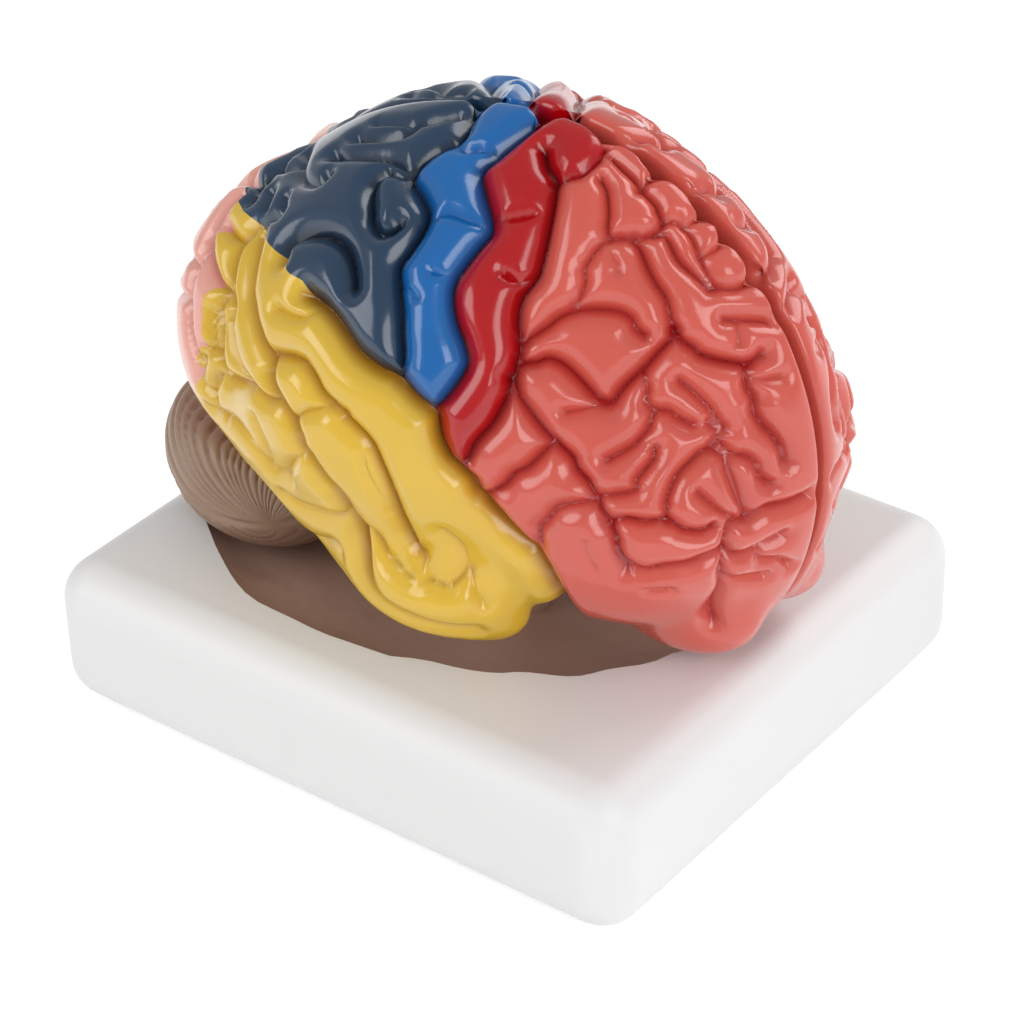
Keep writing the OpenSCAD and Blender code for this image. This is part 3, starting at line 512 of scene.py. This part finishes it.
NEST_OUTLINE = [[66, 0], [62.5, 9], [58.5, 16], [57, 21], [51, 28], [46, 35], [36, 40], [31, 44], [24, 47],
    [14, 49.5], [8, 52.5], [-1, 53.5], [-11, 54.5], [-22, 54], [-32, 53.5], [-40.5, 50.5], [-52, 43.5],
    [-59, 38.5], [-67, 32], [-72, 24], [-74, 12]]
NEST_HUB = np.array([-5.0, 0.0])


def nest_rim(turns):
    """The nest's edge as a distance from its hub, for each direction in plan."""
    half = np.array(NEST_OUTLINE + [[x, -y] for x, y in NEST_OUTLINE[:0:-1]], float)
    loop = flowing(np.vstack([half[-2:], half, half[:3]]), 12) - NEST_HUB
    angle = np.unwrap(np.arctan2(loop[:, 1], loop[:, 0]))
    return np.interp(turns % (2 * np.pi), angle, np.hypot(*loop.T), period=2 * np.pi)


def nest_depth(x):
    share = np.clip((x + 42) / 40, 0, 1)
    return 8.5 + 6.5 * share ** 2 * (3 - 2 * share)


def ring_faces(rings, count):
    at = np.arange(rings * count).reshape(rings, count)
    at = np.column_stack([at, at[:, 0]])
    return np.stack([at[:-1, :-1], at[:-1, 1:], at[1:, 1:], at[1:, :-1]], -1).reshape(-1, 4)


def nest(count=360, rings=60):
    """The stand's brown hollow, lumpy where the brain lies over it."""
    turn = np.arange(count) * 2 * np.pi / count
    rim = nest_rim(turn)
    share = 1 - (np.arange(rings) / (rings - 1)) ** 1.6
    share[-1] = 0.002
    r = share[:, None] * rim
    x, y = NEST_HUB[0] + r * np.cos(turn), NEST_HUB[1] + r * np.sin(turn)
    s = share[:, None] * np.ones_like(turn)
    depth = nest_depth(x) * np.power(np.clip(1 - s ** 8, 0, 1), 0.6)
    lump = 1.2 * (1 - s) * (np.sin(np.radians(7 * x + 50)) * np.cos(np.radians(6 * y)) - 1) / 2 * (x > -30)
    points = np.stack([x, y, lump - depth], -1).reshape(-1, 3)
    return shell("nest_lining", points, ring_faces(rings, count))


def slab():
    """The white slab round the nest: flat top, rolled edges and level underside."""
    core = np.array(STAND[:2]) / 2 - STAND_EDGE
    fine = 16
    loop, out = [], []
    signs = [(1, 1), (-1, 1), (-1, -1), (1, -1)]
    for i, (sx, sy) in enumerate(signs):
        p = core * (sx, sy)
        for t in np.linspace(0, np.pi / 2, fine + 1):
            loop.append(p)
            out.append((np.cos(t + i * np.pi / 2), np.sin(t + i * np.pi / 2)))
        q = core * signs[(i + 1) % 4]
        for t in np.linspace(0, 1, 24)[1:-1]:
            loop.append(p + (q - p) * t)
            out.append((np.cos((i + 1) * np.pi / 2), np.sin((i + 1) * np.pi / 2)))
    loop, out = np.array(loop), np.array(out)
    around = np.arctan2(loop[:, 1] - NEST_HUB[1], loop[:, 0] - NEST_HUB[0])
    rim = NEST_HUB + nest_rim(around)[:, None] * np.stack([np.cos(around), np.sin(around)], -1)
    rings, facing = [], []

    def ring(flat, height, turn):
        rings.append(np.column_stack([flat, np.full(len(loop), height)]))
        facing.append(np.column_stack([out * np.sin(turn), np.full(len(loop), np.cos(turn))]))

    for share in (0, 0.5, 1):
        ring(rim + (loop - rim) * share, 0, 0)
    for t in np.linspace(0, np.pi / 2, 13)[1:]:
        ring(loop + out * STAND_EDGE * np.sin(t), STAND_EDGE * (np.cos(t) - 1), t)
    for t in np.linspace(np.pi / 2, np.pi, 13):
        ring(loop + out * STAND_EDGE * np.sin(t), STAND_EDGE * (np.cos(t) + 1) - STAND[2], t)
    ring(loop * 0.01, -STAND[2], np.pi)
    return shell("stand_slab", np.vstack(rings), ring_faces(len(rings), len(loop))[:, ::-1], np.vstack(facing))


def post(count=96):
    """Short post that carries the two halves; its top follows their sloping underside."""
    turn = np.arange(count) * 2 * np.pi / count
    rings = []
    for height, radius in ((-17, 7.7), (6, 7.3), (None, 7), (None, 0.05)):
        x, y = 4 + radius * np.cos(turn), radius * np.sin(turn)
        z = underside(x) - 0.3 if height is None else np.full(count, float(height))
        rings.append(np.column_stack([x, y, z]))
    obj = shell("stand_post", np.vstack(rings), ring_faces(4, count))
    edge = obj.modifiers.new("edge", "EDGE_SPLIT")
    edge.split_angle = np.radians(40)
    return obj


def colour(code):
    """Linear colour from an sRGB hex code."""
    parts = [int(code[i:i + 2], 16) / 255 for i in (1, 3, 5)]
    return tuple(c / 12.92 if c <= 0.04045 else ((c + 0.055) / 1.055) ** 2.4 for c in parts) + (1.0,)


def add(tree, kind, links=None, **settings):
    """Adds a node; settings are its properties or inputs, links its inputs' sources."""
    made = tree.nodes.new(kind)
    for name, value in settings.items():
        if hasattr(made, name):
            setattr(made, name, value)
        else:
            made.inputs[name.replace("_", " ")].default_value = value
    for name, source in (links or {}).items():
        tree.links.new(source, made.inputs[name])
    return made


def empty_material(name):
    made = bpy.data.materials.new(name)
    made.use_nodes = True
    tree = made.node_tree
    shader = tree.nodes["Principled BSDF"]
    where = add(tree, "ShaderNodeTexCoord").outputs["Object"]
    return made, tree, shader, where


def painted_resin(name, code, furrow_shade_code, roughness=0.22):
    """Cast resin with brushed gloss enamel: slightly uneven colour, with painted shade that darkens the furrows."""
    made, tree, shader, where = empty_material(name)
    uneven = add(tree, "ShaderNodeTexNoise", {"Vector": where}, Scale=45.0, Detail=3.0)
    furrow_attribute = add(tree, "ShaderNodeAttribute", attribute_name="furrow")
    depth = add(tree, "ShaderNodeMapRange", {"Value": furrow_attribute.outputs["Fac"]}, From_Min=0.4, From_Max=1.0)
    base = colour(code)
    dim = tuple(c * 0.86 for c in base[:3]) + (1.0,)
    tint = add(tree, "ShaderNodeMix", {"Factor": uneven.outputs["Fac"]}, data_type="RGBA")
    tint.inputs[6].default_value, tint.inputs[7].default_value = dim, base
    # painted shade: the colour darkens toward the lobe's furrow shade colour as the furrows deepen
    furrow_shade = add(tree, "ShaderNodeMix", {"Factor": depth.outputs["Result"]}, data_type="RGBA")
    tree.links.new(tint.outputs[2], furrow_shade.inputs[6])
    furrow_shade.inputs[7].default_value = colour(furrow_shade_code)
    tree.links.new(furrow_shade.outputs[2], shader.inputs["Base Color"])
    shader.inputs["Roughness"].default_value = roughness
    shader.inputs["Coat Weight"].default_value = 0.3
    shader.inputs["Coat Roughness"].default_value = 0.08
    brushed = add(tree, "ShaderNodeTexNoise", {"Vector": where}, Scale=220.0, Detail=2.0)
    bump = add(tree, "ShaderNodeBump", {"Height": brushed.outputs["Fac"]}, Strength=0.25, Distance=0.0002)
    tree.links.new(bump.outputs["Normal"], shader.inputs["Normal"])
    return made


def satin_plastic(name, code, roughness, grain=900.0, relief=0.00003):
    """Moulded satin plastic: a fine even grain breaks its reflections."""
    made, tree, shader, where = empty_material(name)
    shader.inputs["Base Color"].default_value = colour(code)
    shader.inputs["Roughness"].default_value = roughness
    rough = add(tree, "ShaderNodeTexNoise", {"Vector": where}, Scale=grain, Detail=2.0)
    bump = add(tree, "ShaderNodeBump", {"Height": rough.outputs["Fac"]}, Strength=0.5, Distance=relief)
    tree.links.new(bump.outputs["Normal"], shader.inputs["Normal"])
    return made


# Each lobe: its slot, its paint colour, and the darker colour painted into its furrows as shade
PAINTS = {
    "frontal_lobe": ("frontal_coral", "#d45b4e", "#a3191c"),
    "precentral_gyrus": ("precentral_red", "#b4000a", "#6e0008"),
    "postcentral_gyrus": ("postcentral_blue", "#0b65ae", "#082c5c"),
    "parietal_lobe": ("parietal_navy", "#203b56", "#0f1b2a"),
    "temporal_lobe": ("temporal_yellow", "#e2b93a", "#b07a1c"),
    "occipital_lobe": ("occipital_pink", "#efaa9c", "#c07268"),
}

paints = {lobe: painted_resin(*paint) for lobe, paint in PAINTS.items()}
taupe = satin_plastic("cerebellum_taupe", "#967a66", 0.42)
brown = satin_plastic("nest_brown", "#c4a293", 0.38, 110.0, 0.0012)
white = satin_plastic("stand_white", "#e6e6e6", 0.45)


def finish_piece(obj, material, node):
    obj.data.materials.clear()
    obj.data.materials.append(material)
    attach(obj, "root")
    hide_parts(node)


for side in ("right", "left"):
    for lobe, obj in zip(LOBES, hemisphere(side)):
        finish_piece(obj, paints[lobe], side + "_hemisphere")
finish_piece(cerebellum(), taupe, "cerebellum")
finish_piece(slab(), white, "stand")
finish_piece(post(), brown, "stand")
finish_piece(nest(), brown, "stand")
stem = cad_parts["brain_stem"]
stem.data.materials.clear()
stem.data.materials.append(taupe)


def seen_directly(tree):
    """1 for what the camera sees itself, in a reflection or through glass, 0 for stray light."""
    path = add(tree, "ShaderNodeLightPath")
    seen = add(tree, "ShaderNodeMath", {0: path.outputs["Is Camera Ray"], 1: path.outputs["Is Glossy Ray"]},
               operation="MAXIMUM")
    return add(tree, "ShaderNodeMath", {0: seen.outputs[0], 1: path.outputs["Is Transmission Ray"]},
               operation="MAXIMUM").outputs[0]


def floor():
    bpy.ops.mesh.primitive_plane_add(size=6, location=(0, 0, 0))
    plane = bpy.context.object
    plane.name = "floor"
    made, tree, shader, where = empty_material("floor_white")
    shader.inputs["Base Color"].default_value = (0.98, 0.98, 0.98, 1)
    shader.inputs["Roughness"].default_value = 0.6
    shader.inputs["Specular IOR Level"].default_value = 0.1
    # the floor looks white without lighting the object
    shader.inputs["Emission Color"].default_value = (1, 1, 1, 1)
    lit = add(tree, "ShaderNodeMath", {0: seen_directly(tree)}, operation="MULTIPLY")
    lit.inputs[1].default_value = 0.3
    tree.links.new(lit.outputs[0], shader.inputs["Emission Strength"])
    plane.data.materials.append(made)


def soft_light(name, place, size, power, aim=(0, 0, 0.09)):
    lamp = bpy.data.lights.new(name, "AREA")
    lamp.shape, lamp.size, lamp.energy = "SQUARE", size, power
    obj = bpy.data.objects.new(name, lamp)
    obj.location = place
    obj.rotation_euler = (Vector(aim) - Vector(place)).to_track_quat("-Z", "Y").to_euler()
    bpy.context.scene.collection.objects.link(obj)


def studio():
    world = bpy.data.worlds.new("studio")
    bpy.context.scene.world = world
    world.use_nodes = True
    tree = world.node_tree
    tree.nodes["Background"].inputs["Color"].default_value = (1, 1, 1, 1)
    tree.nodes["Background"].inputs["Strength"].default_value = 0.45
    soft_light("key", (-0.7, -1.1, 0.75), 0.9, 8)
    soft_light("fill", (1.3, -0.45, 0.7), 0.9, 9.5)
    soft_light("back", (0.3, 1.1, 1.0), 0.9, 8)
    bpy.context.scene.view_settings.view_transform = "Standard"


def camera():
    """The photo's viewpoint, fitted to the stand's corners and edges."""
    turn, lift, roll = np.radians((38.33, 33.46, -1.86))
    back = np.array([np.sin(turn) * np.cos(lift), -np.cos(turn) * np.cos(lift), np.sin(lift)])
    right = np.array([np.cos(turn), np.sin(turn), 0.0])
    up = np.cross(back, right)
    spot = (back * 4.861 + right * 0.0111 + up * 0.0378) * 0.166 + (0, 0, 0.038)
    across = right * np.cos(roll) + up * np.sin(roll)
    upward = up * np.cos(roll) - right * np.sin(roll)
    eye = bpy.data.cameras.new("camera")
    eye.sensor_width, eye.lens = 36.0, 36.0 * 3404.6 / 1024
    obj = bpy.data.objects.new("camera", eye)
    obj.matrix_world = Matrix([list(row) + [p] for row, p in zip(np.column_stack([across, upward, back]), spot)]
                              + [[0, 0, 0, 1]])
    bpy.context.scene.collection.objects.link(obj)
    bpy.context.scene.camera = obj


floor()
studio()
camera()
